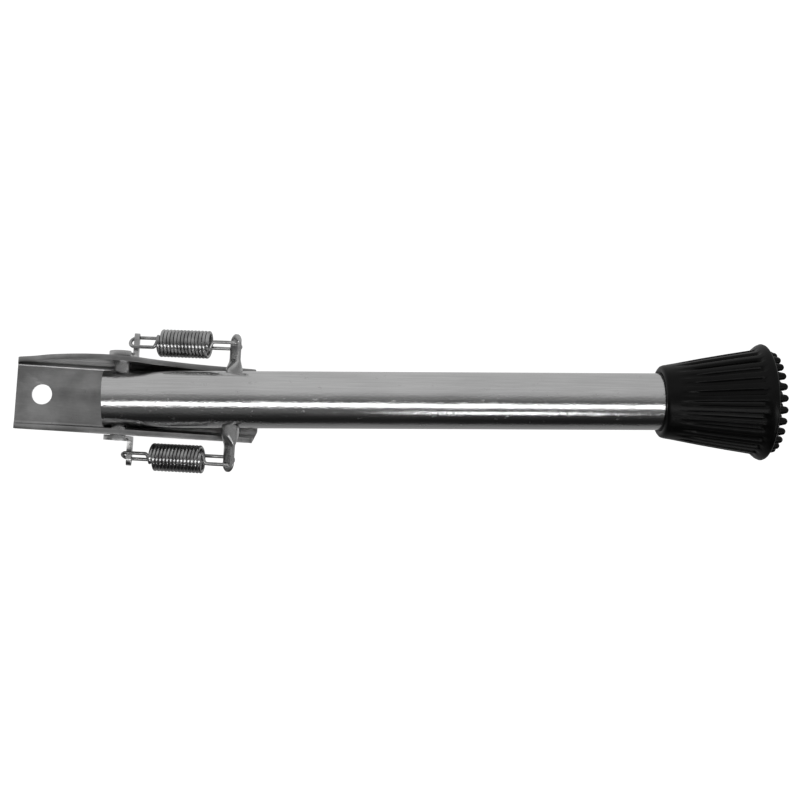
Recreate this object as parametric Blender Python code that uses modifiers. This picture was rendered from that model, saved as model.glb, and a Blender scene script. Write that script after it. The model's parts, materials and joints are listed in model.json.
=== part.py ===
# Kick-down door stay: a tube leg that swings on a riveted channel bracket, held at
# either end of its swing by two over-centre extension springs, with a ribbed rubber foot.
# Frame: origin on the bracket's back face under the pivot, +X along the bracket towards
# the foot, +Z away from the door. Metres.
from math import asin, cos, pi, radians, sin, sqrt

import bmesh
import bpy
from mathutils import Matrix, Vector

MM = 0.001
GAP = 0.3 * MM                  # running gap between neighbouring pieces

# Bracket: a folded channel with splayed flanges
SHEET = 2.0 * MM
BRACKET_LEFT = -42.0 * MM
BRACKET_RIGHT = 53.2 * MM
CHANNEL_HALF = 14.0 * MM        # outer half width at the back face
SPLAY = 0.043                   # outward lean of a flange per unit of height
BEND_OUTER = 2.6 * MM
FLANGE_TALLEST = 26.0 * MM      # blank height before the side outline is cut
FLANGE_EDGE = [(-42, 2.6), (-35, 8.0), (-27, 15.4), (-16, 21.6), (-5, 24.2),
               (5, 22.6), (13, 18.4), (27, 13.3), (40, 11.0), (49.4, 9.8)]   # x, z in mm
FLANGE_NOSE = [(50.9, 9.3), (51.5, 8.0), (51.7, 2.7)]   # the web runs on past this end
SCREW_HOLE_R = 4.0 * MM
SCREW_INSET = 10.0 * MM         # hole centre from each end

# Pivot
PIVOT_H = 17.0 * MM
RIVET_R = 3.0 * MM
RIVET_HEAD_R = 4.6 * MM
RIVET_END = 16.9 * MM           # half length over the two flush heads
HEAD_DEPTH = 1.5 * MM

# Spring anchors: L plates under the rivet heads
ANCHOR_T = 1.95 * MM
ANCHOR_FACE = 15.05 * MM        # inner face, from the centre plane at pivot height
ANCHOR_R = 5.4 * MM
ARM_LEFT = 3.0 * MM
ARM_RIGHT = 5.0 * MM
ARM_LOW = -13.8 * MM            # arm edges, from pivot height
ARM_HIGH = -8.2 * MM
ARM_TIP = 26.4 * MM

# Leg: round tube
TUBE_R = 11.0 * MM
TUBE_WALL = 1.2 * MM
TUBE_END = 238.5 * MM           # far end, inside the foot
TAIL = 6.3 * MM                 # length behind the pivot
LEG_LEAN = radians(3.3)         # sideways play taken up at the rivet
LEG_SHIFT = -1.15 * MM          # sideways place of the leg's axis on the rivet

# Cross pin: round bar through the leg with forged flat ends
PIN_X = 42.8 * MM
PIN_Z = PIVOT_H + 2.4 * MM
PIN_R = 3.3 * MM
PIN_ROUND_TO = 13.0 * MM
PIN_TIP = 26.6 * MM
BLADE_HALF_W = 3.4 * MM
BLADE_T = 1.45 * MM
BLADE_TURN = radians(35)        # the flat's lean from upright

# Springs
SPRING_Y = 22.2 * MM
COIL_R = 4.75 * MM              # to the wire's centre
WIRE_R = 0.6 * MM
COIL_PITCH = 1.4 * MM
HALF_TURNS = 7                  # turns in each half of a spring
COIL_MID_X = 23.2 * MM
LOOP_R = 2.85 * MM              # half width of an end loop, to the wire's centre
LOOP_REACH = {"A": 2.4 * MM, "B": 1.8 * MM}      # depth of its bend
LOOP_A = Vector((4.0 * MM, 0, PIVOT_H - 9.0 * MM))      # loop centres, bracket and leg ends
LOOP_B = Vector((PIN_X, 0, PIVOT_H + 0.4 * MM))
HOOK_HOLE_R = 1.4 * MM

# Rubber foot, stations along the leg from the pivot
FOOT_MOUTH = 207.5 * MM
FOOT_SOLE = 247.9 * MM
RIM_X = 246.8 * MM
RIM_R = 22.5 * MM
RIBS = 26
GROOVE_DEPTH = 1.3 * MM
STUD_LENGTH = 4.0 * MM
STUD_R = 1.9 * MM
STUD_RINGS = [(18.3 * MM, 26), (12.0 * MM, 17)]          # ring radius, number of studs
WASHER_T = 2.0 * MM

LEG_RISE = asin((RIM_R + GAP / 2 - PIVOT_H) / RIM_X)     # the folded foot just meets the door
LEG_MATRIX = (Matrix.Translation((0, LEG_SHIFT, PIVOT_H)) @ Matrix.Rotation(LEG_LEAN, 4, "Z")
              @ Matrix.Rotation(-LEG_RISE, 4, "Y"))


def start_collections():
    for old in list(bpy.data.objects):
        bpy.data.objects.remove(old)
    made = []
    for name in ("door_stay", "cutters"):
        collection = bpy.data.collections.new(name)
        bpy.context.scene.collection.children.link(collection)
        made.append(collection)
    return made


PARTS, CUTTERS = start_collections()


def finish(obj, colour, roughness, metallic):
    material = bpy.data.materials.new(obj.name + "_finish")
    material.use_nodes = True
    shader = material.node_tree.nodes["Principled BSDF"]
    shader.inputs["Base Color"].default_value = (*colour, 1)
    shader.inputs["Roughness"].default_value = roughness
    shader.inputs["Metallic"].default_value = metallic
    obj.data.materials.append(material)


def steel(obj, tone=0.6, roughness=0.32):
    finish(obj, (tone, tone, tone), roughness, 1.0)


def smooth(mesh, angle=35):
    mesh.shade_smooth()
    mesh.set_sharp_from_angle(angle=radians(angle))


def add_object(name, bm, matrix=None):
    bmesh.ops.recalc_face_normals(bm, faces=bm.faces)
    mesh = bpy.data.meshes.new(name)
    bm.to_mesh(mesh)
    bm.free()
    smooth(mesh)
    obj = bpy.data.objects.new(name, mesh)
    if matrix:
        obj.matrix_world = matrix
    PARTS.objects.link(obj)
    return obj


def move_to_cutters(obj):
    PARTS.objects.unlink(obj)
    CUTTERS.objects.link(obj)
    obj.hide_render = True
    obj.display_type = "WIRE"


def make_cutter(name, bm, matrix=None):
    cutter = add_object(name, bm, matrix)
    move_to_cutters(cutter)
    return cutter


def boolean(obj, other, operation="DIFFERENCE"):
    modifier = obj.modifiers.new(operation.lower(), "BOOLEAN")
    modifier.operation = operation
    modifier.object = other


def cone_bm(r1, r2, depth, matrix, segments=24):
    bm = bmesh.new()
    bmesh.ops.create_cone(bm, cap_ends=True, segments=segments, radius1=r1, radius2=r2,
                          depth=depth, matrix=matrix)
    return bm


def along_y(x, y, z):
    return Matrix.Translation((x, y, z)) @ Matrix.Rotation(-pi / 2, 4, "X")


def loft(bm, rings):
    rows = [[bm.verts.new(p) for p in ring] for ring in rings]
    count = len(rows[0])
    for low, high in zip(rows, rows[1:]):
        for i in range(count):
            j = (i + 1) % count
            bm.faces.new((low[i], low[j], high[j], high[i]))
    bm.faces.new(rows[0][::-1])
    bm.faces.new(rows[-1])


def prism(bm, outline, direction):
    """A closed solid from a flat outline, pushed along direction."""
    loft(bm, [outline, [p + direction for p in outline]])


def through_points(points, per_span=4):
    """A smooth line through the given 2D points, by Catmull-Rom spans."""
    pts = [Vector(p) for p in points]
    pts = [2 * pts[0] - pts[1], *pts, 2 * pts[-1] - pts[-2]]
    line = []
    for a, b, c, d in zip(pts, pts[1:], pts[2:], pts[3:]):
        for k in range(per_span):
            t = k / per_span
            line.append(0.5 * (2 * b + (c - a) * t + (2 * a - 5 * b + 4 * c - d) * t ** 2
                               + (3 * b - a - 3 * c + d) * t ** 3))
    return line + [pts[-2]]


# ---- Bracket ----

def channel_half_section(steps=5):
    """Outer skin of one side, from the flange's top edge to the web's centre: (y, z)."""
    lean = radians(90) - SPLAY
    top = (CHANNEL_HALF + SPLAY * FLANGE_TALLEST, FLANGE_TALLEST)
    corner_y = CHANNEL_HALF + SPLAY * BEND_OUTER - BEND_OUTER
    bend = []
    for i in range(steps + 1):
        turn = lean * i / steps - SPLAY
        bend.append((corner_y + BEND_OUTER * cos(turn), BEND_OUTER - BEND_OUTER * sin(turn)))
    bend[-1] = (bend[-1][0], 0.0)
    return [top, *bend]


def make_bracket():
    half = channel_half_section()
    section = half + [(-y, z) for y, z in reversed(half)]
    bm = bmesh.new()
    left = [bm.verts.new((BRACKET_LEFT - MM, y, z)) for y, z in section]
    right = [bm.verts.new((BRACKET_RIGHT + MM, y, z)) for y, z in section]
    for i in range(len(section) - 1):
        bm.faces.new((left[i], left[i + 1], right[i + 1], right[i]))
    bracket = add_object("mounting_bracket", bm)
    bracket.data.update()
    centre_face = max(bracket.data.polygons, key=lambda f: f.area * abs(f.normal.z))
    skin_faces_out = centre_face.normal.z < 0
    shell = bracket.modifiers.new("sheet", "SOLIDIFY")
    shell.thickness = SHEET
    shell.offset = -1 if skin_faces_out else 1
    shell.use_even_offset = True
    steel(bracket, 0.42, 0.36)

    edge = [(p.x * MM, p.y * MM) for p in through_points(FLANGE_EDGE)]
    nose = [(x * MM, z * MM) for x, z in FLANGE_NOSE]
    outline = [(BRACKET_LEFT, -MM), *edge, *nose, (BRACKET_RIGHT, 2.2 * MM), (BRACKET_RIGHT, -MM)]
    bm = bmesh.new()
    prism(bm, [Vector((x, -0.02, z)) for x, z in outline], Vector((0, 0.04, 0)))
    boolean(bracket, make_cutter("bracket_side_outline", bm), "INTERSECT")

    for end, x in (("left", BRACKET_LEFT + SCREW_INSET), ("right", BRACKET_RIGHT - SCREW_INSET)):
        hole = cone_bm(SCREW_HOLE_R, SCREW_HOLE_R, 10 * MM, Matrix.Translation((x, 0, 0)), 32)
        boolean(bracket, make_cutter("screw_hole_" + end, hole))
    bore = cone_bm(RIVET_R + GAP, RIVET_R + GAP, 40 * MM, along_y(0, 0, PIVOT_H))
    boolean(bracket, make_cutter("bracket_rivet_bore", bore))


# ---- Rivet and spring anchors ----

def turned(name, profile, matrix, steps=24):
    """A solid of revolution about Z; profile runs down the outer side, (radius, height)."""
    mesh = bpy.data.meshes.new(name)
    mesh.from_pydata([(r, 0, h) for r, h in profile], [(i, i + 1) for i in range(len(profile) - 1)], [])
    obj = bpy.data.objects.new(name, mesh)
    obj.matrix_world = matrix
    PARTS.objects.link(obj)
    screw = obj.modifiers.new("turn", "SCREW")
    screw.steps = steps
    screw.render_steps = steps
    screw.use_merge_vertices = True
    screw.merge_threshold = 0.00001
    return obj


def make_rivet():
    shoulder = RIVET_END - HEAD_DEPTH
    profile = [(0, RIVET_END), (RIVET_HEAD_R, RIVET_END), (RIVET_R, shoulder),
               (RIVET_R, -shoulder), (RIVET_HEAD_R, -RIVET_END), (0, -RIVET_END)]
    steel(turned("pivot_rivet", profile, along_y(0, 0, PIVOT_H)), 0.5, 0.3)


def cut_rivet_seat(plate, name, side):
    """The countersunk hole that a rivet head is set into."""
    seat_r = RIVET_HEAD_R + 1.5 * GAP
    hole_r = RIVET_R + GAP
    profile = [(0, RIVET_END + MM), (seat_r, RIVET_END + MM), (seat_r, RIVET_END),
               (hole_r, RIVET_END - HEAD_DEPTH), (hole_r, 8 * MM), (0, 8 * MM)]
    place = Matrix.Translation((0, 0, PIVOT_H)) @ Matrix.Rotation(-side * pi / 2, 4, "X")
    seat = turned(name + "_rivet_seat", profile, place)
    move_to_cutters(seat)
    boolean(plate, seat)


def arc(cx, cz, r, start, stop, steps):
    return [(cx + r * cos(radians(start + (stop - start) * i / steps)),
             cz + r * sin(radians(start + (stop - start) * i / steps))) for i in range(steps + 1)]


def make_anchor(name, side):
    """An L plate on one flange: a round-ended foot under the rivet and an arm for the spring."""
    place = (Matrix.Translation((0, side * ANCHOR_FACE, PIVOT_H))
             @ Matrix.Rotation(-side * SPLAY, 4, "X"))
    inset = 0.05 * MM               # the arm stands this much proud of the foot's edges
    foot = [*arc(0, 0, ANCHOR_R, 55, 245, 16), (ARM_RIGHT - inset, ARM_LOW + inset),
            (ARM_RIGHT - inset, ARM_HIGH)]
    bm = bmesh.new()
    prism(bm, [Vector((x, 0, z)) for x, z in foot], Vector((0, side * ANCHOR_T, 0)))
    plate = add_object(name, bm, place)
    steel(plate, 0.45, 0.34)

    reach = ARM_TIP - ANCHOR_FACE
    half_w = (ARM_HIGH - ARM_LOW) / 2
    mid_z = (ARM_HIGH + ARM_LOW) / 2
    tip = arc(reach - half_w, mid_z, half_w, -90, 90, 10)
    arm = [(ANCHOR_T / 3, ARM_LOW), *tip, (ANCHOR_T / 3, ARM_HIGH)]
    bm = bmesh.new()
    prism(bm, [Vector((ARM_LEFT, side * y, z)) for y, z in arm], Vector((ARM_RIGHT - ARM_LEFT, 0, 0)))
    boolean(plate, make_cutter(name + "_arm", bm, place), "UNION")

    eye = cone_bm(HOOK_HOLE_R, HOOK_HOLE_R, 12 * MM, Matrix.Translation(hook_eye("A", side))
                  @ Matrix.Rotation(pi / 2, 4, "Y"), 16)
    boolean(plate, make_cutter(name + "_eye", eye))
    cut_rivet_seat(plate, name, side)


# ---- Springs ----

def loop_offset(end, side):
    """From a loop's centre line to the wire that goes through the hook hole: (outward, up)."""
    outward = {("A", 1): 2.0, ("A", -1): 1.0, ("B", 1): 0.9, ("B", -1): 1.6}[end, side] * MM
    up = sqrt(LOOP_R ** 2 - outward ** 2)
    return outward, (-up if end == "A" else up)


def hook_eye(end, side):
    outward, up = loop_offset(end, side)
    centre = LOOP_A if end == "A" else LOOP_B
    return Vector((centre.x, side * (SPRING_Y + outward), centre.z + up))


def spring_point(side, along, outward, up):
    """A point given along the spring from its middle, outward from the leg, and up."""
    axis = (LOOP_B - LOOP_A).normalized()
    rise = Vector((-axis.z, 0, axis.x))
    middle = LOOP_A.lerp(LOOP_B, (COIL_MID_X - LOOP_A.x) / (LOOP_B.x - LOOP_A.x))
    return middle + axis * along + rise * up + Vector((0, side * (SPRING_Y + outward), 0))


def make_spring_half(name, end, side):
    """Half of the coil and the end loop that goes through an anchor or the cross pin."""
    way = -1 if end == "A" else 1
    loop_at = abs(((LOOP_A if end == "A" else LOOP_B).x - COIL_MID_X) / (LOOP_B - LOOP_A).normalized().x)
    outward, up = loop_offset(end, side)
    last = -way * pi * (0.5 if end == "A" else -0.5)
    per_turn = 10
    line = []
    for i in range(HALF_TURNS * per_turn + 1):
        turn = 2 * pi * i / per_turn if i else 0.05
        angle = last - way * (2 * pi * HALF_TURNS - turn)
        line.append((turn / (2 * pi) * COIL_PITCH, COIL_R * cos(angle), COIL_R * sin(angle)))
    coil_end = HALF_TURNS * COIL_PITCH
    over = (-outward, -up)
    for k in range(1, 5):
        t = k / 5
        ease = t * t * (3 - 2 * t)
        swing = last + way * pi * 0.25 * sin(pi * t)
        line.append((coil_end + 0.6 * MM + t * 2.0 * MM,
                     (1 - ease) * COIL_R * cos(swing) + ease * over[0],
                     (1 - ease) * COIL_R * sin(swing) + ease * over[1]))
    line.append((coil_end + 3.0 * MM, *over))
    for k in range(9):
        bend = pi * k / 8
        line.append((loop_at + LOOP_REACH[end] * sin(bend), over[0] * cos(bend), over[1] * cos(bend)))
    line.append((coil_end - 0.9 * MM, outward, up))     # the free end is tucked inside the coil

    curve = bpy.data.curves.new(name, "CURVE")
    curve.dimensions = "3D"
    curve.bevel_depth = WIRE_R
    curve.bevel_resolution = 2
    curve.use_fill_caps = True
    spline = curve.splines.new("POLY")
    spline.points.add(len(line) - 1)
    for point, (along, out, rise) in zip(spline.points, line):
        point.co = (*spring_point(side, way * along, out, rise), 1)
    obj = bpy.data.objects.new(name, curve)
    PARTS.objects.link(obj)
    steel(obj, 0.35, 0.35)


# ---- Leg, cross pin and foot ----

def make_leg():
    middle = (TUBE_END - TAIL) / 2
    place = Matrix.Translation((middle, 0, 0)) @ Matrix.Rotation(pi / 2, 4, "Y")
    tube = add_object("leg_tube", cone_bm(TUBE_R, TUBE_R, TUBE_END + TAIL, place, 40), LEG_MATRIX)
    steel(tube, 0.62, 0.25)
    inside = cone_bm(TUBE_R - TUBE_WALL, TUBE_R - TUBE_WALL, TUBE_END + TAIL + 10 * MM, place, 40)
    boolean(tube, make_cutter("tube_inside", inside, LEG_MATRIX))
    bore = cone_bm(RIVET_R + 1.5 * GAP, RIVET_R + 1.5 * GAP, 50 * MM, along_y(0, 0, PIVOT_H))
    boolean(tube, make_cutter("leg_rivet_bore", bore))
    bore = cone_bm(PIN_R + GAP, PIN_R + GAP, 50 * MM, along_y(PIN_X, 0, PIN_Z), 28)
    boolean(tube, make_cutter("leg_pin_bore", bore))


def pin_ring(y, half_w, half_t, count=20):
    """A section of the pin; the wide way leans by BLADE_TURN from upright."""
    flatness = 1 if half_w - half_t < MM else 0.45
    ring = []
    for i in range(count):
        angle = 2 * pi * i / count
        wide = half_w * cos(angle)
        thick = half_t * (1 if sin(angle) >= 0 else -1) * abs(sin(angle)) ** flatness
        ring.append(Vector((PIN_X + wide * sin(BLADE_TURN) - thick * cos(BLADE_TURN), y,
                            PIN_Z + wide * cos(BLADE_TURN) + thick * sin(BLADE_TURN))))
    return ring


def make_cross_pin():
    flat_from = 17.0 * MM
    tip_from = PIN_TIP - BLADE_HALF_W
    half = [(PIN_ROUND_TO, PIN_R, PIN_R)]
    for k in range(1, 5):
        t = k / 4
        ease = t * t * (3 - 2 * t)
        half.append((PIN_ROUND_TO + t * (flat_from - PIN_ROUND_TO),
                     PIN_R + ease * (BLADE_HALF_W - PIN_R), PIN_R + ease * (BLADE_T / 2 - PIN_R)))
    for k in range(6):
        bend = radians(78) * k / 5
        half.append((tip_from + BLADE_HALF_W * sin(bend), BLADE_HALF_W * cos(bend), BLADE_T / 2))
    sections = [(-y, w, t) for y, w, t in reversed(half)] + half
    bm = bmesh.new()
    loft(bm, [pin_ring(y, w, t) for y, w, t in sections])
    pin = add_object("spring_cross_pin", bm)
    steel(pin, 0.45, 0.3)
    slope = (LOOP_B - LOOP_A).normalized()
    for side in (1, -1):
        aim = slope.to_track_quat("Z", "Y").to_matrix().to_4x4()
        eye = cone_bm(HOOK_HOLE_R, HOOK_HOLE_R, 8 * MM, Matrix.Translation(hook_eye("B", side)) @ aim, 16)
        boolean(pin, make_cutter("pin_eye_upper" if side > 0 else "pin_eye_lower", eye))


def foot_ring(x, r, groove=0.0):
    """A ring of the foot with three points to a rib: two on its crest, one in the groove."""
    ring = []
    for i in range(3 * RIBS):
        angle = 2 * pi * i / (3 * RIBS)
        radius = r - (groove if i % 3 == 0 else 0)
        ring.append(Vector((x, radius * cos(angle), radius * sin(angle))))
    return ring


def make_foot():
    bore_r = TUBE_R + GAP
    bore_end = TUBE_END + WASHER_T + 2 * GAP
    rings = [(bore_end, bore_r, 0), (FOOT_MOUTH + 0.8 * MM, bore_r, 0), (FOOT_MOUTH, 12.2 * MM, 0),
             (FOOT_MOUTH + 0.3 * MM, 13.2 * MM, 0), (209.0 * MM, 14.1 * MM, 0),
             (213.5 * MM, 14.9 * MM, 0), (223.5 * MM, 16.8 * MM, 0.7 * GROOVE_DEPTH),
             (243.0 * MM, 20.1 * MM, GROOVE_DEPTH), (243.7 * MM, 20.2 * MM, 0),
             (245.6 * MM, 21.9 * MM, 0), (RIM_X, RIM_R, 0), (247.5 * MM, 22.0 * MM, 0),
             (FOOT_SOLE, 21.0 * MM, 0)]
    bm = bmesh.new()
    loft(bm, [foot_ring(x, r, groove) for x, r, groove in rings])
    foot = add_object("rubber_foot", bm, LEG_MATRIX)
    finish(foot, (0.012, 0.012, 0.012), 0.5, 0.0)
    bm = bmesh.new()
    for ring_r, count in STUD_RINGS:
        for i in range(count):
            angle = 2 * pi * i / count
            place = (Matrix.Translation((FOOT_SOLE + STUD_LENGTH / 2 - 0.5 * MM,
                                         ring_r * cos(angle), ring_r * sin(angle)))
                     @ Matrix.Rotation(pi / 2, 4, "Y"))
            bmesh.ops.create_cone(bm, cap_ends=True, segments=8, radius1=STUD_R, radius2=0.7 * STUD_R,
                                  depth=STUD_LENGTH + MM, matrix=place)
    boolean(foot, make_cutter("sole_studs", bm, LEG_MATRIX), "UNION")

    washer_x = TUBE_END + GAP + WASHER_T / 2
    place = LEG_MATRIX @ Matrix.Translation((washer_x, 0, 0)) @ Matrix.Rotation(pi / 2, 4, "Y")
    disc = cone_bm(TUBE_R - 0.2 * MM, TUBE_R - 0.2 * MM, WASHER_T, Matrix.Identity(4), 28)
    steel(add_object("foot_washer", disc, place), 0.5, 0.4)


make_bracket()
make_rivet()
for label, side in (("upper", 1), ("lower", -1)):
    make_anchor("spring_anchor_" + label, side)
    make_spring_half("spring_" + label + "_bracket_half", "A", side)
    make_spring_half("spring_" + label + "_leg_half", "B", side)
make_leg()
make_cross_pin()
make_foot()
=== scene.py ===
import json
from math import asin, cos, pi, radians, sin, sqrt

import bmesh
import bpy
from mathutils import Matrix, Vector


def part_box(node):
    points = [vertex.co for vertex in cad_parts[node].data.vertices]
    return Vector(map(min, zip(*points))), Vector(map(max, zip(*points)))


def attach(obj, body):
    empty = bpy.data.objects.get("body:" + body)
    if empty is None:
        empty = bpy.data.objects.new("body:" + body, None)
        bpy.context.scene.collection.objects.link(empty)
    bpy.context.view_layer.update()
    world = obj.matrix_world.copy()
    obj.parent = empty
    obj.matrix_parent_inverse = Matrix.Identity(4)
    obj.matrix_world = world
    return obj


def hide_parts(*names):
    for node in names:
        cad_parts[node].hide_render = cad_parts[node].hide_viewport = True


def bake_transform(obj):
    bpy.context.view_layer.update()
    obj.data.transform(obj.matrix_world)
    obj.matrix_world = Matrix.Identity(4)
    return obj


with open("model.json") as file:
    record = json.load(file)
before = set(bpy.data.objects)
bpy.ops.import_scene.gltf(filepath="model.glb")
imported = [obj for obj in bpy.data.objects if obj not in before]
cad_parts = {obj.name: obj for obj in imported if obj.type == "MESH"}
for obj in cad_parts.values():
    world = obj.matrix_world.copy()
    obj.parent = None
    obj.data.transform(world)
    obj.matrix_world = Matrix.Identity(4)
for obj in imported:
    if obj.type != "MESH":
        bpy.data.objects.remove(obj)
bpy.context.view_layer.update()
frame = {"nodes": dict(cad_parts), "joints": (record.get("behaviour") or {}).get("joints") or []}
mm = 0.001
print("frame loaded:", len(frame["nodes"]), "solids")

# Places that several pieces share, from the frame's own joints and solids
joints = {j["name"]: j for j in frame["joints"]}
pivot = Vector(joints["leg_swing"]["pos_m"])
channelLow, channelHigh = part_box("mounting_bracket")
pinLow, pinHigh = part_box("spring_cross_pin")
pinCentre = (pinLow + pinHigh) / 2
legSetting = {
    "lean": radians(3.3),          # to one side of the bracket
    "shift": -1.15 * mm,           # sideways place on the rivet
    "rimX": 246.8 * mm,            # the foot's widest ring, from the pivot
    "rimRadius": 22.5 * mm,
    "rimClear": 0.15 * mm,         # from that ring to the door's plane
}
legRise = asin((legSetting["rimRadius"] + legSetting["rimClear"] - pivot.z) / legSetting["rimX"])
legPlace = (Matrix.Translation((0, legSetting["shift"], pivot.z))
            @ Matrix.Rotation(legSetting["lean"], 4, "Z") @ Matrix.Rotation(-legRise, 4, "Y"))


class Value:
    # One output of a shader node. Sums on values add their own Math nodes.
    def __init__(self, tree, socket=None):
        self.tree, self.socket = tree, socket

    def node(self, kind, settings=None, sockets=None, out=0):
        made = self.tree.nodes.new(kind)
        for key, setting in (settings or {}).items():
            if key == "stops":
                ramp = made.color_ramp
                while len(ramp.elements) < len(setting):
                    ramp.elements.new(0.5)
                for element, (place, grey) in zip(ramp.elements, setting):
                    element.position, element.color = place, (grey, grey, grey, 1)
            else:
                setattr(made, key, setting)
        for key, value in (sockets or {}).items():
            if isinstance(value, Value):
                self.tree.links.new(value.socket, made.inputs[key])
            else:
                made.inputs[key].default_value = value
        return Value(self.tree, made.outputs[out]) if made.outputs else None

    def maths(self, operation, *values):
        return self.node("ShaderNodeMath", {"operation": operation}, dict(enumerate(values)))

    def __add__(self, other):
        return self.maths("ADD", self, other)

    def __sub__(self, other):
        return self.maths("SUBTRACT", self, other)

    def __rsub__(self, other):
        return self.maths("SUBTRACT", other, self)

    def __mul__(self, other):
        return self.maths("MULTIPLY", self, other)

    __radd__, __rmul__ = __add__, __mul__

    def between(self, low, high):           # 0 below low, 1 above high, smooth between
        return self.node("ShaderNodeMapRange", {"interpolation_type": "SMOOTHSTEP"},
                         {"Value": self, "From Min": low, "From Max": high})

    def shades(self, dark, light):          # two greys mixed by this value
        greys = {6: (dark, dark, dark, 1), 7: (light, light, light, 1), 0: self}
        return self.node("ShaderNodeMix", {"data_type": "RGBA"}, greys, out=2)

    def noise(self, scale, detail=3.0, roughness=0.5, stretch=(1, 1, 1)):
        spread = self.node("ShaderNodeVectorMath", {"operation": "MULTIPLY"}, {0: self, 1: stretch})
        return self.node("ShaderNodeTexNoise", None, {"Vector": spread, "Scale": scale,
                                                      "Detail": detail, "Roughness": roughness})


def finishOf(name, paint):
    # A material whose shader sockets are what paint returns
    material = bpy.data.materials.new(name)
    material.use_nodes = True
    tree = material.node_tree
    tree.nodes.clear()
    start = Value(tree)
    place = start.node("ShaderNodeTexCoord", out="Object")
    shader = start.node("ShaderNodeBsdfPrincipled", None, paint(place))
    start.node("ShaderNodeOutputMaterial", None, {"Surface": shader})
    return material


def alongLeg(place):
    # Object coordinates turned to run along the leg from the pivot
    return place.node("ShaderNodeMapping", {"vector_type": "TEXTURE"},
                      {"Vector": place, "Location": legPlace.translation,
                       "Rotation": legPlace.to_euler()})


def bumped(height, distance, strength=1.0):
    return height.node("ShaderNodeBump", None,
                       {"Height": height, "Distance": distance, "Strength": strength})


tubeLook = {"light": 0.80, "dark": 0.66, "rough": 0.09, "ripple": 0.06 * mm}


def paintTube(place):
    place = alongLeg(place)
    drawn = place.noise(1400, 4, 0.6, (0.03, 1, 1))           # fine lines from the draw bench
    ripple = place.noise(1200, 3, 0.7, (0.85, 1, 1))
    swell = place.noise(170, 2, 0.5, (0.3, 1, 1))
    cloud = place.noise(60, 3, 0.5, (0.5, 1, 1))
    specks = place.noise(700, 3, 0.6, (0.5, 1, 1)).between(0.62, 0.74)
    wear = drawn.between(0.35, 0.7) * 0.5 + cloud.between(0.3, 0.7) * 0.5
    colour = (wear - specks * 0.8).shades(tubeLook["dark"], tubeLook["light"])
    roughness = drawn * 0.12 + specks * 0.25 + cloud * 0.06 + tubeLook["rough"] - 0.06
    return {"Base Color": colour, "Metallic": 1.0, "Roughness": roughness,
            "Normal": bumped(ripple + swell * 1.6 + drawn * 0.1, tubeLook["ripple"])}


sheetLook = {"light": 0.5, "dark": 0.33, "rough": 0.3, "grain": 0.012 * mm}


def paintSheet(place):
    rolled = place.noise(1500, 3, 0.6, (0.12, 1, 1))          # rolling lines along the channel
    grain = place.noise(1300, 4, 0.65)
    stains = place.noise(70, 4, 0.6)
    nicks = place.noise(500, 2, 0.5, (1, 0.4, 1)).between(0.7, 0.78)
    mask = stains.between(0.35, 0.7) * 0.85 + rolled.between(0.4, 0.65) * 0.15
    roughness = stains * 0.14 + rolled * 0.04 + nicks * 0.2 + sheetLook["rough"] - 0.09
    return {"Base Color": (mask - nicks * 0.5).shades(sheetLook["dark"], sheetLook["light"]),
            "Metallic": 1.0, "Roughness": roughness,
            "Normal": bumped(grain + rolled * 0.15, sheetLook["grain"])}


forgedLook = {"light": 0.62, "dark": 0.42, "rough": 0.24, "dents": 0.05 * mm}


def paintForged(place):
    dents = place.noise(330, 3, 0.5)
    grain = place.noise(1800, 3, 0.6)
    soot = place.noise(160, 4, 0.6).between(0.4, 0.68)
    return {"Base Color": soot.shades(forgedLook["light"], forgedLook["dark"]), "Metallic": 1.0,
            "Roughness": grain * 0.14 + soot * 0.12 + forgedLook["rough"] - 0.07,
            "Normal": bumped(dents + grain * 0.12, forgedLook["dents"])}


wireLook = {"light": 0.56, "dark": 0.36, "rough": 0.2, "scratch": 0.006 * mm}


def paintWire(place):
    scratch = place.noise(3500, 3, 0.6)
    tint = place.noise(240, 3, 0.5).between(0.35, 0.65)
    return {"Base Color": tint.shades(wireLook["dark"], wireLook["light"]), "Metallic": 1.0,
            "Roughness": scratch * 0.14 + wireLook["rough"] - 0.07,
            "Normal": bumped(scratch, wireLook["scratch"])}


rubberLook = {"light": 0.009, "dark": 0.0018, "rough": 0.32, "gloss": 0.17, "grain": 0.02 * mm}


def paintRubber(place):
    place = alongLeg(place)
    grain = place.noise(2600, 3, 0.6)
    flow = place.noise(180, 4, 0.55, (0.3, 1, 1))             # moulding flow along the ribs
    dust = place.noise(420, 4, 0.7).between(0.56, 0.75)
    return {"Specular IOR Level": rubberLook["gloss"],
            "Base Color": (flow.between(0.35, 0.7) * 0.4 + dust * 0.5).shades(rubberLook["dark"],
                                                                            rubberLook["light"]),
            "Roughness": grain * 0.2 + flow * 0.15 + rubberLook["rough"] - 0.15,
            "Normal": bumped(grain * 0.5 + flow, rubberLook["grain"])}


finishes = {
    "tube_zinc": finishOf("bright drawn zinc", paintTube),
    "bracket_zinc": finishOf("rolled zinc sheet", paintSheet),
    "forged_steel": finishOf("forged zinc steel", paintForged),
    "spring_wire": finishOf("drawn spring wire", paintWire),
    "black_rubber": finishOf("moulded black rubber", paintRubber),
}
print("finishes made:", len(finishes))


def show(name, mesh, place=None):
    piece = bpy.data.objects.new(name, mesh)
    if place:
        piece.matrix_world = place
    bpy.context.scene.collection.objects.link(piece)
    return piece


def fromBmesh(name, bm, place=None):
    bmesh.ops.recalc_face_normals(bm, faces=bm.faces)
    mesh = bpy.data.meshes.new(name)
    bm.to_mesh(mesh)
    bm.free()
    return show(name, mesh, place)


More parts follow.
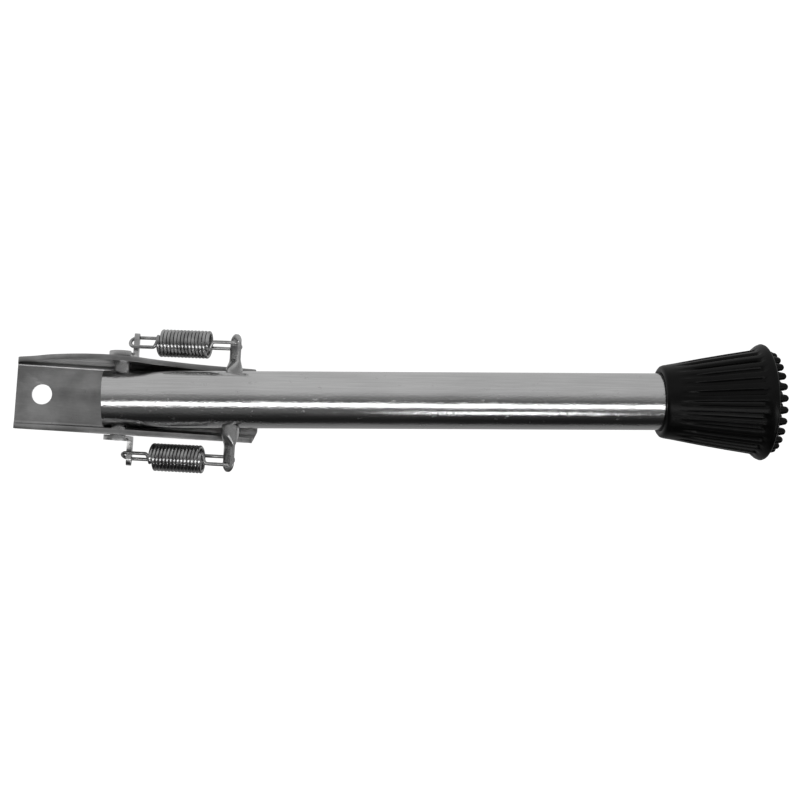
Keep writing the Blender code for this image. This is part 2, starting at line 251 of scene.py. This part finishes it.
def loft(bm, rings, closeEnds=True):
    rows = [[bm.verts.new(p) for p in ring] for ring in rings]
    count = len(rows[0])
    for low, high in zip(rows, rows[1:]):
        for i in range(count):
            j = (i + 1) % count
            bm.faces.new((low[i], low[j], high[j], high[i]))
    if closeEnds:
        bm.faces.new(rows[0][::-1])
        bm.faces.new(rows[-1])
    else:
        for i in range(count):
            j = (i + 1) % count
            bm.faces.new((rows[-1][i], rows[-1][j], rows[0][j], rows[0][i]))


def prism(name, outline, push, place=None):
    bm = bmesh.new()
    loft(bm, [outline, [p + push for p in outline]])
    return fromBmesh(name, bm, place)


def lathe(name, profile, place, steps=64):
    # profile runs down the outer side, (radius, height), from the axis to the axis
    mesh = bpy.data.meshes.new(name)
    edges = [(i, i + 1) for i in range(len(profile) - 1)]
    mesh.from_pydata([(r, 0, h) for r, h in profile], edges, [])
    piece = show(name, mesh, place)
    turn = piece.modifiers.new("turn", "SCREW")
    turn.steps = turn.render_steps = steps
    turn.use_merge_vertices = True
    turn.merge_threshold = 0.00001
    return piece


def rod(name, radius, depth, place, sides=40):
    bm = bmesh.new()
    bmesh.ops.create_cone(bm, cap_ends=True, segments=sides, radius1=radius, radius2=radius,
                          depth=depth, matrix=place)
    return fromBmesh(name, bm)


def combine(piece, other, operation="DIFFERENCE"):
    step = piece.modifiers.new(operation, "BOOLEAN")
    step.operation, step.object = operation, other
    return other


def soften(piece, width, segments=3, angle=38):
    # Rounded edges wherever two faces meet sharply
    edge = piece.modifiers.new("edge", "BEVEL")
    edge.width, edge.segments = width, segments
    edge.limit_method, edge.angle_limit = "ANGLE", radians(angle)


def settle(piece, helpers=(), angle=30):
    # The evaluated shape as a plain mesh whose object sits at the origin
    bpy.context.view_layer.update()
    graph = bpy.context.evaluated_depsgraph_get()
    mesh = bpy.data.meshes.new_from_object(piece.evaluated_get(graph))
    mesh.transform(piece.matrix_world)
    name = piece.name
    for old in (piece, *helpers):
        bpy.data.objects.remove(old)
    mesh.name = name
    mesh.shade_smooth()
    mesh.set_sharp_from_angle(angle=radians(angle))
    return show(name, mesh)


def fit(piece, slot, body, *nodes):
    piece.data.materials.clear()
    piece.data.materials.append(finishes[slot])
    if body:
        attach(piece, body)
    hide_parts(*nodes)
    return piece


def alongY(x, y, z):
    return Matrix.Translation((x, y, z)) @ Matrix.Rotation(-pi / 2, 4, "X")


def arc(cx, cy, radius, start, stop, steps):
    turns = [radians(start + (stop - start) * i / steps) for i in range(steps + 1)]
    return [(cx + radius * cos(t), cy + radius * sin(t)) for t in turns]


def eased(t):
    return t * t * (3 - 2 * t)


def throughPoints(points, perSpan):
    # A smooth line through 2D points, by Catmull-Rom spans
    pts = [Vector(p) for p in points]
    pts = [2 * pts[0] - pts[1], *pts, 2 * pts[-1] - pts[-2]]
    line = []
    for a, b, c, d in zip(pts, pts[1:], pts[2:], pts[3:]):
        for t in (k / perSpan for k in range(perSpan)):
            line.append(0.5 * (2 * b + (c - a) * t + (2 * a - 5 * b + 4 * c - d) * t ** 2
                               + (3 * b - a - 3 * c + d) * t ** 3))
    return line + [pts[-2]]


channel = {
    "sheet": 2.0 * mm,
    "half": 14.0 * mm,              # outer half width at the back face
    "splay": 0.043,                 # a flange's lean outwards
    "bend": 3.6 * mm,               # outer radius of a fold
    "blank": 26.0 * mm,
    "edge": [(-42, 2.6), (-35, 8.0), (-27, 15.4), (-16, 21.6), (-5, 24.2),
             (5, 22.6), (13, 18.4), (27, 13.3), (40, 11.0), (49.4, 9.8)],
    "flangeEnd": 51.6 * mm,         # the web runs on past this
    "screwHole": 4.0 * mm,
    "screwInset": 10.0 * mm,
    "rivetHole": 3.3 * mm,          # in the flanges and the anchor plates
    "cornerCut": (2.4 * mm, 5.5 * mm),      # off the foot end's corners, along and across
    "edgeRound": 0.5 * mm,
}


def makeChannel():
    bend, splay = channel["bend"], channel["splay"]
    cornerY = channel["half"] + splay * bend - bend
    half = [(channel["half"] + splay * channel["blank"], channel["blank"])]
    steps = 12
    for i in range(steps + 1):
        turn = (pi / 2 - splay) * i / steps - splay
        half.append((cornerY + bend * cos(turn), bend - bend * sin(turn)))
    half[-1] = (half[-1][0], 0.0)
    section = half + [(-y, z) for y, z in reversed(half)]
    bm = bmesh.new()
    rows = [[bm.verts.new((x, y, z)) for y, z in section]
            for x in (channelLow.x - mm, channelHigh.x + mm)]
    for i in range(len(section) - 1):
        bm.faces.new((rows[0][i], rows[0][i + 1], rows[1][i + 1], rows[1][i]))
    bm.normal_update()
    mesh = bpy.data.meshes.new("channel_bracket")
    bm.to_mesh(mesh)
    bm.free()
    piece = show("channel_bracket", mesh)
    web = max(mesh.polygons, key=lambda face: face.area * abs(face.normal.z))
    shell = piece.modifiers.new("sheet", "SOLIDIFY")
    shell.thickness = channel["sheet"]
    shell.offset = -1 if web.normal.z < 0 else 1
    shell.use_even_offset = True
    edge = [(p.x * mm, p.y * mm) for p in throughPoints(channel["edge"], 8)]
    left, right = channelLow.x, channelHigh.x
    nose = arc(channel["flangeEnd"] - 2.0 * mm, 7.7 * mm, 2.0 * mm, 78, 4, 6)
    outline = [(left, -mm), *edge, *nose, (channel["flangeEnd"], 2.7 * mm), (right, 2.2 * mm),
               (right, -mm)]
    sides = prism("side_outline", [Vector((x, -0.02, z)) for x, z in outline], Vector((0, 0.04, 0)))
    cutX, cutY = channel["cornerCut"]
    wide, square = 0.02, channelHigh.y - cutY
    plan = [(left - mm, -wide), (right - cutX - mm, -wide), (right - cutX, -channelHigh.y),
            (right, -square), (right + mm, -0.7 * square), (right + mm, 0.7 * square), (right, square),
            (right - cutX, channelHigh.y), (right - cutX - mm, wide), (left - mm, wide)]
    seenFlat = prism("plan_outline", [Vector((x, y, -0.01)) for x, y in plan], Vector((0, 0, 0.06)))
    helpers = [combine(piece, sides, "INTERSECT"), combine(piece, seenFlat, "INTERSECT")]
    for x in (left + channel["screwInset"], right - channel["screwInset"]):
        hole = rod("screw_hole", channel["screwHole"], 10 * mm, Matrix.Translation((x, 0, 0)), 64)
        helpers.append(combine(piece, hole))
    bore = rod("rivet_bore", channel["rivetHole"], 40 * mm, alongY(0, 0, pivot.z))
    helpers.append(combine(piece, bore))
    soften(piece, channel["edgeRound"])
    return fit(settle(piece, helpers), "bracket_zinc", "bracket", "mounting_bracket")


rivet = {
    "radius": 3.0 * mm, "head": 4.6 * mm, "end": 16.9 * mm, "headDepth": 1.5 * mm,
    "dimple": 0.35 * mm,
}


def makeRivet():
    end, shoulder, head = rivet["end"], rivet["end"] - rivet["headDepth"], rivet["head"]
    upper = [(0, end - rivet["dimple"]), (0.22 * head, end - 0.8 * rivet["dimple"]),
             (0.4 * head, end + 0.05 * mm), (0.75 * head, end + 0.02 * mm),
             (0.93 * head, end - 0.1 * mm), (head, end - 0.35 * mm), (rivet["radius"], shoulder)]
    profile = upper + [(r, -h) for r, h in reversed(upper)]
    piece = lathe("pivot_rivet_body", profile, alongY(0, 0, pivot.z))
    return fit(settle(piece, angle=50), "forged_steel", "bracket", "pivot_rivet")


anchor = {
    "thick": 1.95 * mm,
    "face": 15.05 * mm,             # inner face, from the centre plane at pivot height
    "radius": 5.4 * mm,
    "armLeft": 3.0 * mm, "armRight": 5.0 * mm,
    "armLow": -13.8 * mm, "armHigh": -8.2 * mm,      # from pivot height
    "tip": 26.4 * mm,
    "seatGap": 0.12 * mm,           # round the rivet's head
    "edgeRound": 0.35 * mm,
}


def makeAnchor(label, side):
    place = (Matrix.Translation((0, side * anchor["face"], pivot.z))
             @ Matrix.Rotation(-side * channel["splay"], 4, "X"))
    right, low, high = anchor["armRight"], anchor["armLow"], anchor["armHigh"]
    inset = 0.05 * mm               # the arm stands this much proud of the foot's edges
    foot = [*arc(0, 0, anchor["radius"], 55, 245, 32), (right - inset, low + inset),
            (right - inset, high)]
    plate = prism("anchor_plate_" + label, [Vector((x, 0, z)) for x, z in foot],
                  Vector((0, side * anchor["thick"], 0)), place)
    halfWide = (high - low) / 2
    reach = anchor["tip"] - anchor["face"]
    start = anchor["thick"] / 3
    arm = [(start, low), *arc(reach - halfWide, (low + high) / 2, halfWide, -90, 90, 20),
           (start, high)]
    bar = prism("anchor_arm", [Vector((anchor["armLeft"], side * y, z)) for y, z in arm],
                Vector((right - anchor["armLeft"], 0, 0)), place)
    eye = rod("anchor_eye", hookEye, 12 * mm,
              Matrix.Translation(eyeCentre("A", side)) @ Matrix.Rotation(pi / 2, 4, "Y"), 32)
    seatRadius = rivet["head"] + anchor["seatGap"]
    holeRadius, end = channel["rivetHole"], rivet["end"]
    profile = [(0, end + mm), (seatRadius, end + mm), (seatRadius, end),
               (holeRadius, end - rivet["headDepth"]), (holeRadius, 8 * mm), (0, 8 * mm)]
    seat = lathe("rivet_seat", profile,
                 Matrix.Translation((0, 0, pivot.z)) @ Matrix.Rotation(-side * pi / 2, 4, "X"))
    helpers = [combine(plate, bar, "UNION"), combine(plate, eye), combine(plate, seat)]
    soften(plate, anchor["edgeRound"])
    return fit(settle(plate, helpers), "forged_steel", "bracket", "spring_anchor_" + label)


spring = {
    "away": 22.2 * mm,              # coil axis from the centre plane
    "coilRadius": 4.75 * mm,        # to the wire's centre
    "wire": 0.68 * mm,
    "pitch": 1.4 * mm,
    "halfTurns": 7,
    "middleX": 23.2 * mm,
    "loopRadius": 2.85 * mm,
    "loopDrop": -9.0 * mm,          # bracket loop's centre, from pivot height
    "loopLift": 0.4 * mm,           # leg loop's centre, from pivot height
    "bracketLoopX": 4.0 * mm,
    "loopReach": {"A": 2.4 * mm, "B": 1.8 * mm},   # depth of a loop's bend
    "perTurn": 30,
    "sides": 12,
}
hookEye = 1.4 * mm
loopCentres = {"A": Vector((spring["bracketLoopX"], 0, pivot.z + spring["loopDrop"])),
               "B": Vector((pinCentre.x, 0, pivot.z + spring["loopLift"]))}
springAxis = (loopCentres["B"] - loopCentres["A"]).normalized()
outwards = {("A", 1): 2.0 * mm, ("A", -1): 1.0 * mm, ("B", 1): 0.9 * mm, ("B", -1): 1.6 * mm}


def eyeOffset(end, side):
    # From a loop's centre to the wire in the hook hole: outward from the leg, and up
    outward = outwards[end, side]
    up = sqrt(spring["loopRadius"] ** 2 - outward ** 2)
    return outward, (-up if end == "A" else up)


def eyeCentre(end, side):
    outward, up = eyeOffset(end, side)
    centre = loopCentres[end]
    return Vector((centre.x, side * (spring["away"] + outward), centre.z + up))


def springPoint(side, along, outward, up):
    rise = Vector((-springAxis.z, 0, springAxis.x))
    middle = loopCentres["A"] + springAxis * ((spring["middleX"] - loopCentres["A"].x) / springAxis.x)
    return middle + springAxis * along + rise * up + Vector((0, side * (spring["away"] + outward), 0))


def springHalf(end, side):
    # The wire's centre line from mid coil to the end of one loop
    way = -1 if end == "A" else 1
    radius, turns, perTurn = spring["coilRadius"], spring["halfTurns"], spring["perTurn"]
    loopAt = abs((loopCentres[end].x - spring["middleX"]) / springAxis.x)
    eye = Vector(eyeOffset(end, side))
    first, second = (-eye, eye) if end == "A" else (eye, -eye)
    line = []
    for i in range(turns * perTurn + 1):
        turn = i / perTurn
        angle = pi / 2 - way * 2 * pi * (turns - turn)
        line.append((turn * spring["pitch"], radius * cos(angle), radius * sin(angle)))
    coilEnd = turns * spring["pitch"]
    steps = 14
    for k in range(1, steps):
        t = k / steps
        swing = pi / 2 + way * pi * 0.3 * sin(pi * t)
        arm = (1 - eased(t)) * radius
        line.append((coilEnd + (0.15 * sin(pi * t / 2) + 2.6 * t * t) * mm,
                     arm * cos(swing) + eased(t) * first.x, arm * sin(swing) + eased(t) * first.y))
    line.append((coilEnd + 3.2 * mm, first.x, first.y))
    for k in range(17):
        bend = pi * k / 16
        across = first.lerp(second, (1 - cos(bend)) / 2)
        line.append((loopAt + spring["loopReach"][end] * sin(bend), across.x, across.y))
    line.append((coilEnd + 1.0 * mm, second.x, second.y))
    line.append((coilEnd - 0.9 * mm, 0.94 * second.x, 0.94 * second.y))     # tucked inside the coil
    return [springPoint(side, way * along, outward, up) for along, outward, up in line]


def geometryTree(name, inputs):
    tree = bpy.data.node_groups.new(name, "GeometryNodeTree")
    tree.interface.new_socket("Geometry", in_out="INPUT", socket_type="NodeSocketGeometry")
    for label, (kind, value) in inputs.items():
        socket = tree.interface.new_socket(label, in_out="INPUT", socket_type="NodeSocket" + kind)
        if value is not None:
            socket.default_value = value
    tree.interface.new_socket("Geometry", in_out="OUTPUT", socket_type="NodeSocketGeometry")
    given = tree.nodes.new("NodeGroupInput")
    return tree, Value(tree), {s.name: Value(tree, s) for s in given.outputs if s.name}


def endTree(tree, start, geometry, finish):
    whole = start.node("GeometryNodeRealizeInstances", None, {"Geometry": geometry})
    painted = start.node("GeometryNodeSetMaterial", None, {"Geometry": whole, "Material": finish})
    start.node("NodeGroupOutput", None, {"Geometry": painted})
    return tree


def joinAll(tree, parts):
    joined = tree.nodes.new("GeometryNodeJoinGeometry")
    for part in parts:
        tree.links.new(part.socket, joined.inputs[0])
    return Value(tree, joined.outputs[0])


def applyTree(piece, tree, values):
    step = piece.modifiers.new(tree.name, "NODES")
    step.node_group = tree
    for item in tree.interface.items_tree:
        if item.item_type == "SOCKET" and item.in_out == "INPUT" and item.name in values:
            step[item.identifier] = values[item.name]


def wireTree():
    # Sweeps a round wire along the piece's own line of edges
    tree, start, given = geometryTree("bentWire", {
        "Wire radius": ("Float", spring["wire"]), "Sides": ("Int", spring["sides"]),
        "Finish": ("Material", None)})
    line = start.node("GeometryNodeMeshToCurve", None, {"Mesh": given["Geometry"]})
    ring = start.node("GeometryNodeCurvePrimitiveCircle", None,
                      {"Resolution": given["Sides"], "Radius": given["Wire radius"]})
    wire = start.node("GeometryNodeCurveToMesh", None,
                      {"Curve": line, "Profile Curve": ring, "Fill Caps": True})
    return endTree(tree, start, wire, given["Finish"])


def makeSpring(label, side, tree):
    line = springHalf("A", side)[::-1] + springHalf("B", side)[1:]
    mesh = bpy.data.meshes.new("extension_spring_" + label)
    mesh.from_pydata(line, [(i, i + 1) for i in range(len(line) - 1)], [])
    piece = show("extension_spring_" + label, mesh)
    applyTree(piece, tree, {"Wire radius": spring["wire"], "Sides": spring["sides"],
                            "Finish": finishes["spring_wire"]})
    piece = settle(piece, angle=60)
    body = "spring_" + label
    fit(piece, "spring_wire", None, body + "_leg_half", body + "_bracket_half")
    reach = spring["halfTurns"] * spring["pitch"]
    springPoint(side, reach, 0, 0)
    springPoint(side, -reach, 0, 0)
    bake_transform(piece)
    return piece


tube = {
    "radius": 11.0 * mm, "wall": 1.2 * mm,
    "end": 238.5 * mm, "tail": 6.3 * mm,             # ahead of the pivot and behind it
    "cutRound": 0.25 * mm, "sides": 96,
    "rivetBore": 3.45 * mm, "pinBore": 3.55 * mm,
}


def makeTube():
    outer, inner, cut = tube["radius"], tube["radius"] - tube["wall"], tube["cutRound"]
    turns = [2 * pi * i / tube["sides"] for i in range(tube["sides"])]
    stations = [(-tube["tail"], outer - cut), (0.3 * cut - tube["tail"], outer - 0.3 * cut),
                (cut - tube["tail"], outer), (tube["end"], outer), (tube["end"], inner),
                (-tube["tail"], inner)]
    bm = bmesh.new()
    loft(bm, [[Vector((x, r * cos(t), r * sin(t))) for t in turns] for x, r in stations],
         closeEnds=False)
    piece = fromBmesh("leg_tube_shell", bm, legPlace)
    rivetBore = rod("rivet_bore", tube["rivetBore"], 50 * mm, alongY(0, 0, pivot.z))
    pinBore = rod("pin_bore", tube["pinBore"], 50 * mm, alongY(pinCentre.x, 0, pinCentre.z))
    helpers = [combine(piece, rivetBore), combine(piece, pinBore)]
    return fit(settle(piece, helpers, 40), "tube_zinc", "leg", "leg_tube")


pin = {"radius": 3.3 * mm, "roundTo": 12.2 * mm, "flatFrom": 17.0 * mm, "bladeHalf": 3.4 * mm,
       "bladeThick": 1.45 * mm, "turn": radians(35), "sides": 56}


def pinRing(y, halfWide, halfThick):
    flatness = 1 - 0.45 * min(1, max(0, (halfWide - halfThick) / (2.0 * mm)))
    turns = [2 * pi * i / pin["sides"] for i in range(pin["sides"])]
    ring = []
    for t in turns:
        wide = halfWide * cos(t)
        thick = halfThick * (1 if sin(t) >= 0 else -1) * abs(sin(t)) ** flatness
        ring.append(Vector((pinCentre.x + wide * sin(pin["turn"]) - thick * cos(pin["turn"]), y,
                            pinCentre.z + wide * cos(pin["turn"]) + thick * sin(pin["turn"]))))
    return ring


def makePin():
    radius, halfWide, halfThick = pin["radius"], pin["bladeHalf"], pin["bladeThick"] / 2
    half = [(pin["roundTo"], radius, radius)]
    for k in range(1, 11):
        t = k / 10
        half.append((pin["roundTo"] + t * (pin["flatFrom"] - pin["roundTo"]),
                     radius + eased(t) * (halfWide - radius), radius + eased(t) * (halfThick - radius)))
    tipFrom = pinHigh.y - halfWide
    for k in range(15):
        bend = radians(84) * k / 14
        half.append((tipFrom + halfWide * sin(bend), halfWide * cos(bend),
                     halfThick * min(1, 0.5 + 0.5 * cos(bend) ** 0.3)))
    bm = bmesh.new()
    loft(bm, [pinRing(y, w, t) for y, w, t in [(-y, w, t) for y, w, t in reversed(half)] + half])
    piece = fromBmesh("cross_pin_bar", bm)
    aim = springAxis.to_track_quat("Z", "Y").to_matrix().to_4x4()
    helpers = []
    for side in (1, -1):
        eye = rod("pin_eye", hookEye, 8 * mm, Matrix.Translation(eyeCentre("B", side)) @ aim, 32)
        helpers.append(combine(piece, eye))
    return fit(settle(piece, helpers, 40), "forged_steel", "leg", "spring_cross_pin")


foot = {
    "mouth": 207.5 * mm, "sole": 247.9 * mm, "bore": 11.05 * mm, "boreEnd": 241.1 * mm,
    "ribs": 26, "grooveDepth": 1.3 * mm, "grooveFrom": 211.0 * mm, "grooveFull": 226.0 * mm,
    "grooveTo": 243.8 * mm, "grooveShare": 0.55,
    "grooveOutside": 12.2 * mm,     # the bore lies within this radius and stays round
    "studRings": [(18.3 * mm, 26), (12.0 * mm, 17)], "studRadius": 1.95 * mm, "studLength": 4.0 * mm,
    "sides": 312,
}
# The foot's outside from mouth to sole: radius and place along the leg, in millimetres
footOutline = [
    (12.2, 207.5), (13.2, 207.75), (13.8, 208.25), (14.1, 209.0), (14.9, 213.5),
    (16.8, 223.5), (18.5, 233.3), (20.1, 243.2), (20.4, 243.9), (21.3, 244.9),
    (22.1, 245.9), (22.5, 246.8), (22.3, 247.3), (21.8, 247.65), (21.0, 247.9),
]


def ferruleTree():
    # Presses grooves between the ribs and sets rings of studs on the sole
    kinds = {"Ribs": ("Float", 26.0), "Groove depth": ("Float", mm), "Groove share": ("Float", 0.4),
             "Groove from": ("Float", 0.2), "Groove full": ("Float", 0.21),
             "Groove to": ("Float", 0.24),
             "Outside": ("Float", 12 * mm), "Sole": ("Float", 0.25), "Stud radius": ("Float", mm),
             "Stud length": ("Float", mm), "Finish": ("Material", None)}
    for i in range(len(foot["studRings"])):
        kinds[f"Studs {i}"] = ("Int", 26)
        kinds[f"Stud ring {i}"] = ("Float", 16 * mm)
    tree, start, given = geometryTree("ferrule", kinds)
    at = start.node("GeometryNodeInputPosition")
    split = at.node("ShaderNodeSeparateXYZ", None, {0: at})
    x, y, z = (Value(tree, split.socket.node.outputs[i]) for i in range(3))
    radius = start.maths("SQRT", y * y + z * z)
    turn = start.maths("FRACT", start.maths("ARCTAN2", z, y) * given["Ribs"] * (0.5 / pi) + 0.5)
    fromMiddle = start.maths("ABSOLUTE", turn - 0.5)
    halfShare = given["Groove share"] * 0.5
    groove = 1 - fromMiddle.between(halfShare * 0.55, halfShare)
    run = x.between(given["Groove from"], given["Groove full"])
    stop = 1 - x.between(given["Groove to"] - 0.9 * mm, given["Groove to"])
    skin = start.maths("GREATER_THAN", radius, given["Outside"])
    press = groove * run * stop * skin * given["Groove depth"]
    share = start.maths("DIVIDE", press * -1.0, radius)
    shift = start.node("ShaderNodeCombineXYZ", None, {"Y": y * share, "Z": z * share})
    body = start.node("GeometryNodeSetPosition", None, {"Geometry": given["Geometry"], "Offset": shift})
    tip = given["Stud radius"] * 0.72
    shank = start.node("GeometryNodeMeshCone", None,
                       {"Vertices": 14, "Radius Top": tip, "Radius Bottom": given["Stud radius"],
                        "Depth": given["Stud length"] - tip})
    top = start.node("ShaderNodeCombineXYZ", None, {"Z": given["Stud length"] - tip})
    ball = start.node("GeometryNodeMeshUVSphere", None, {"Segments": 14, "Rings": 8, "Radius": tip})
    dome = start.node("GeometryNodeTransform", None, {"Geometry": ball, "Translation": top})
    stud = joinAll(tree, [shank, dome])
    stud = start.node("GeometryNodeTransform", None, {"Geometry": stud, "Rotation": (0, pi / 2, 0)})
    parts = [body]
    for i in range(len(foot["studRings"])):
        ring = start.node("GeometryNodeMeshCircle", None,
                          {"Vertices": given[f"Studs {i}"], "Radius": given[f"Stud ring {i}"]})
        middle = start.node("ShaderNodeCombineXYZ", None, {"X": given["Sole"]})
        upright = start.node("GeometryNodeTransform", None,
                             {"Geometry": ring, "Rotation": (0, pi / 2, 0), "Translation": middle})
        parts.append(start.node("GeometryNodeInstanceOnPoints", None,
                                {"Points": upright, "Instance": stud}))
    return endTree(tree, start, joinAll(tree, parts), given["Finish"])


def makeFoot():
    skin = [Vector((r * mm, x * mm)) for r, x in footOutline]
    dense = [skin[0]]
    for a, b in zip(skin, skin[1:]):
        pieces = max(1, round((b - a).length / (1.0 * mm)))
        dense += [a.lerp(b, k / pieces) for k in range(1, pieces + 1)]
    bore = [(foot["bore"], foot["boreEnd"]), (foot["bore"], foot["mouth"] + 0.9 * mm),
            (foot["bore"] + 0.3 * mm, foot["mouth"] + 0.35 * mm)]
    bm = bmesh.new()
    turns = [2 * pi * i / foot["sides"] for i in range(foot["sides"])]
    rings = [[Vector((x, r * cos(t), r * sin(t))) for t in turns] for r, x in [*bore, *dense]]
    loft(bm, rings)
    piece = fromBmesh("ribbed_rubber_foot", bm, legPlace)
    values = {"Ribs": float(foot["ribs"]), "Groove depth": foot["grooveDepth"],
              "Groove share": foot["grooveShare"], "Groove from": foot["grooveFrom"],
              "Groove full": foot["grooveFull"], "Groove to": foot["grooveTo"],
              "Outside": foot["grooveOutside"], "Sole": foot["sole"], "Stud radius": foot["studRadius"],
              "Stud length": foot["studLength"], "Finish": finishes["black_rubber"]}
    for i, (ringRadius, count) in enumerate(foot["studRings"]):
        values[f"Studs {i}"] = count
        values[f"Stud ring {i}"] = ringRadius
    applyTree(piece, ferruleTree(), values)
    return fit(settle(piece, angle=55), "black_rubber", "leg", "rubber_foot")


makeChannel()
makeRivet()
bentWire = wireTree()
for label, side in (("upper", 1), ("lower", -1)):
    makeAnchor(label, side)
    makeSpring(label, side, bentWire)
print("bracket, rivet, anchors and springs made")
makeTube()
makePin()
makeFoot()
washer = frame["nodes"]["foot_washer"]
washer.data.materials.clear()
washer.data.materials.append(finishes["forged_steel"])
print("leg, pin and foot made")


studio = {
    "floorDrop": 0.6 * mm, "floorSize": 6.0, "floorGlow": 0.97,
    # how bright the room is round the leg, by angle from overhead: below 0.5 is the near side
    "room": [(0.0, 0.5), (0.033, 0.34), (0.1, 0.25), (0.174, 0.15), (0.194, 0.02), (0.25, 0.012),
             (0.3, 0.03), (0.345, 0.1), (0.404, 0.14), (0.455, 0.14), (0.484, 0.12), (0.5, 0.21),
             (0.533, 0.28), (0.549, 0.44), (0.6, 0.52), (1.0, 0.52)],
    "stripAway": 0.9,               # both strips, from the pivot's height
    "stripTilt": radians(-25.5), "stripWide": 0.2, "stripLong": 1.8, "stripPower": 3.0,
    "stripX": 0.25,
    "thinTilt": radians(-55), "thinWide": 0.034, "thinLong": 0.25, "thinPower": 0.28,
    "thinX": 0.2,
}


def makeFloor():
    bm = bmesh.new()
    bmesh.ops.create_grid(bm, x_segments=1, y_segments=1, size=studio["floorSize"])
    floor = fromBmesh("pale_floor", bm, Matrix.Translation((0, 0, -studio["floorDrop"])))
    material = bpy.data.materials.new("pale floor")
    material.use_nodes = True
    shader = material.node_tree.nodes["Principled BSDF"]
    shader.inputs["Base Color"].default_value = (0.3, 0.3, 0.3, 1)
    shader.inputs["Roughness"].default_value = 0.9
    shader.inputs["Emission Color"].default_value = (1, 1, 1, 1)
    shader.inputs["Emission Strength"].default_value = studio["floorGlow"]
    floor.data.materials.append(material)
    floor.visible_glossy = False
    floor.visible_diffuse = False


def makeRoom():
    world = bpy.data.worlds.new("studio room")
    bpy.context.scene.world = world
    world.use_nodes = True
    tree = world.node_tree
    tree.nodes.clear()
    start = Value(tree)
    towards = start.node("ShaderNodeTexCoord", out="Generated")
    split = towards.node("ShaderNodeSeparateXYZ", None, {0: towards})
    y, z = (Value(tree, split.socket.node.outputs[i]) for i in (1, 2))
    turn = start.maths("ARCTAN2", y, z) * (0.5 / pi) + 0.5
    room = turn.node("ShaderNodeValToRGB", {"stops": studio["room"]}, {0: turn})
    seen = start.node("ShaderNodeLightPath", out="Is Camera Ray")
    shades = {0: seen, 6: room, 7: (1, 1, 1, 1)}
    colour = seen.node("ShaderNodeMix", {"data_type": "RGBA"}, shades, out=2)
    back = start.node("ShaderNodeBackground", None, {"Color": colour, "Strength": 1.0})
    start.node("ShaderNodeOutputWorld", None, {"Surface": back})


def makeStrip(name, x, tilt, wide, length, power):
    light = bpy.data.lights.new(name, "AREA")
    light.shape, light.size, light.size_y, light.energy = "RECTANGLE", length, wide, power
    lamp = bpy.data.objects.new(name, light)
    middle = Vector((x, 0, pivot.z))
    lamp.matrix_world = (Matrix.Translation(middle) @ Matrix.Rotation(-tilt, 4, "X")
                         @ Matrix.Translation((0, 0, studio["stripAway"])))
    bpy.context.scene.collection.objects.link(lamp)


view = {
    "focal": 67.95, "away": 0.578, "alongLeg": 59.6 * mm, "belowLeg": 47.2 * mm,
    "turn": radians(1.55), "tilt": radians(4.67), "roll": radians(0.15),
    "slide": 0.104,                # of the frame's width, which the framing needs
}


def makeCamera():
    along = (legPlace.to_3x3() @ Vector((1, 0, 0))).normalized()
    across = Vector((0, 0, 1)).cross(along).normalized()
    outOfDoor = along.cross(across)
    place = (legPlace.translation + along * view["alongLeg"] - across * view["belowLeg"]
             + outOfDoor * view["away"])
    turned = (Matrix((along, across, outOfDoor)).transposed()
              @ Matrix.Rotation(-view["turn"], 3, "Y") @ Matrix.Rotation(view["tilt"], 3, "X")
              @ Matrix.Rotation(view["roll"], 3, "Z"))
    data = bpy.data.cameras.new("overhead")
    data.lens, data.sensor_width, data.shift_x = view["focal"], 36.0, view["slide"]
    data.clip_start, data.clip_end = 0.01, 20.0
    camera = bpy.data.objects.new("overhead", data)
    camera.matrix_world = Matrix.Translation(place) @ turned.to_4x4()
    bpy.context.scene.collection.objects.link(camera)
    bpy.context.scene.camera = camera


makeFloor()
makeRoom()
makeStrip("soft strip", studio["stripX"], studio["stripTilt"], studio["stripWide"],
          studio["stripLong"], studio["stripPower"])
makeStrip("thin strip", studio["thinX"], studio["thinTilt"], studio["thinWide"],
          studio["thinLong"], studio["thinPower"])
makeCamera()
bpy.context.scene.view_settings.view_transform = "Standard"
print("floor, light and camera made")
